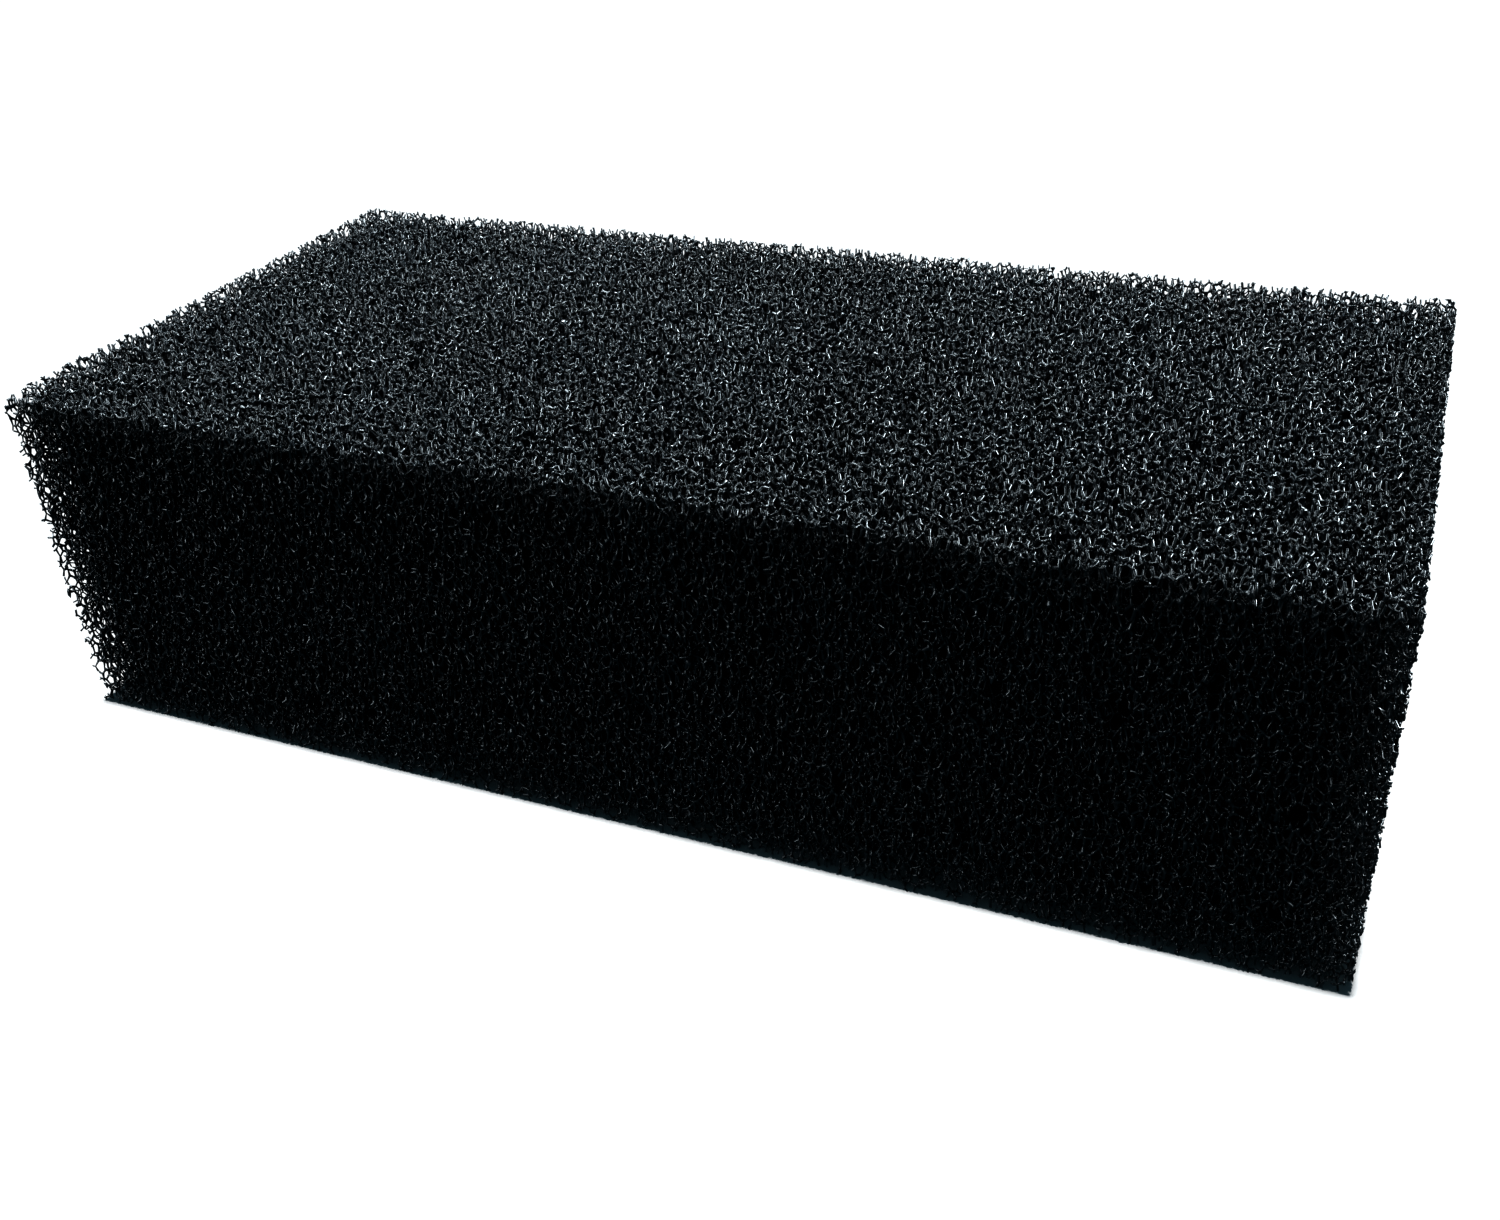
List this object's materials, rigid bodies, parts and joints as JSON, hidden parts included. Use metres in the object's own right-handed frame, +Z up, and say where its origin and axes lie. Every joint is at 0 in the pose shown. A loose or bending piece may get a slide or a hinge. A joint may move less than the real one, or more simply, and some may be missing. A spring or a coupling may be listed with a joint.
{
  "type": "chalkboard eraser",
  "caption": "Rectangular block of coarse, black open-cell foam that wipes a chalkboard clean, with square sawn edges and no handle, cover or backing.",
  "frame": {"origin": "centre of the broad face that the block lies on", "axes": "+X along the block's length, +Y across its width, +Z up through its thickness"},
  "size_m": [0.18, 0.085, 0.05],
  "materials": {
    "foam": "black reticulated polyurethane foam: an open net of fine struts with a faint gloss, cut flat on every face"
  },
  "bodies": {
    "root": {"foam_block": "foam"}
  },
  "joints": []
}
